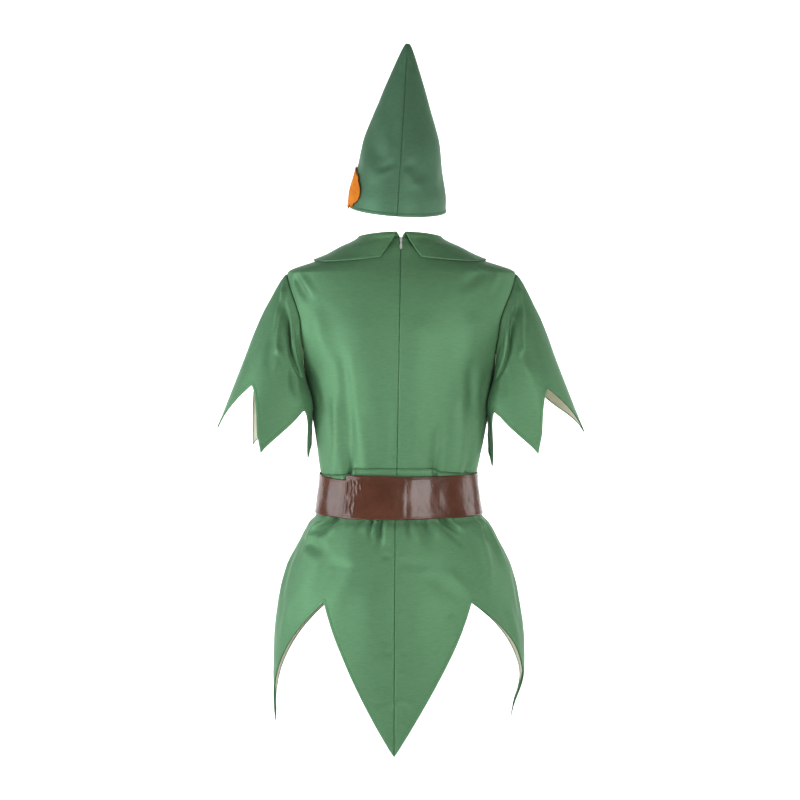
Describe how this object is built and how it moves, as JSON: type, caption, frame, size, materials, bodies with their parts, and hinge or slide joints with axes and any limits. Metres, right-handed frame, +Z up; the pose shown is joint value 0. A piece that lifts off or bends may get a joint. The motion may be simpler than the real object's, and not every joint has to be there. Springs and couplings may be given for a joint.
{
  "type": "elf costume",
  "caption": "Hollow green satin tunic with zipped back, turned-down collar, pointed short sleeves and leaf-pointed hem, worn with a wide belt and a pointed hat.",
  "frame": {"origin": "middle of the neck opening, level with the inner ends of the shoulder seams, where a wearer's shoulders carry the tunic", "axes": "+Z up along the wearer, +Y the way the wearer faces, so the zipped back is towards -Y; +X is the wearer's right"},
  "size_m": [0.6822, 0.3345, 1.2845],
  "materials": {
    "satin": "smooth green satin with a soft sheen, pale wrong side",
    "felt": "matt orange felt",
    "coated_belt": "glossy brown coated fabric",
    "zip_tape": "matt green woven tape",
    "zip_metal": "bright plated metal"
  },
  "bodies": {
    "costume": {"bodice_front": "satin", "bodice_back_left": "satin", "bodice_back_right": "satin", "skirt_front": "satin", "skirt_back_left": "satin", "skirt_back_right": "satin", "sleeve_left": "satin", "sleeve_right": "satin", "collar_left": "satin", "collar_right": "satin", "hat_left": "satin", "hat_right": "satin", "hat_leaf": "felt", "belt": "coated_belt", "zip_tape": "zip_tape", "zip_slider": "zip_metal"},
    "pull_tab": {"zip_pull": "zip_metal"}
  },
  "joints": [
    {"name": "pull_tab_swing", "type": "hinge", "parent": "costume", "child": "pull_tab", "pos_m": [0.00175, -0.06923, 0.00442], "axis": [-1, 0, 0], "range_deg": [0, 150]}
  ]
}
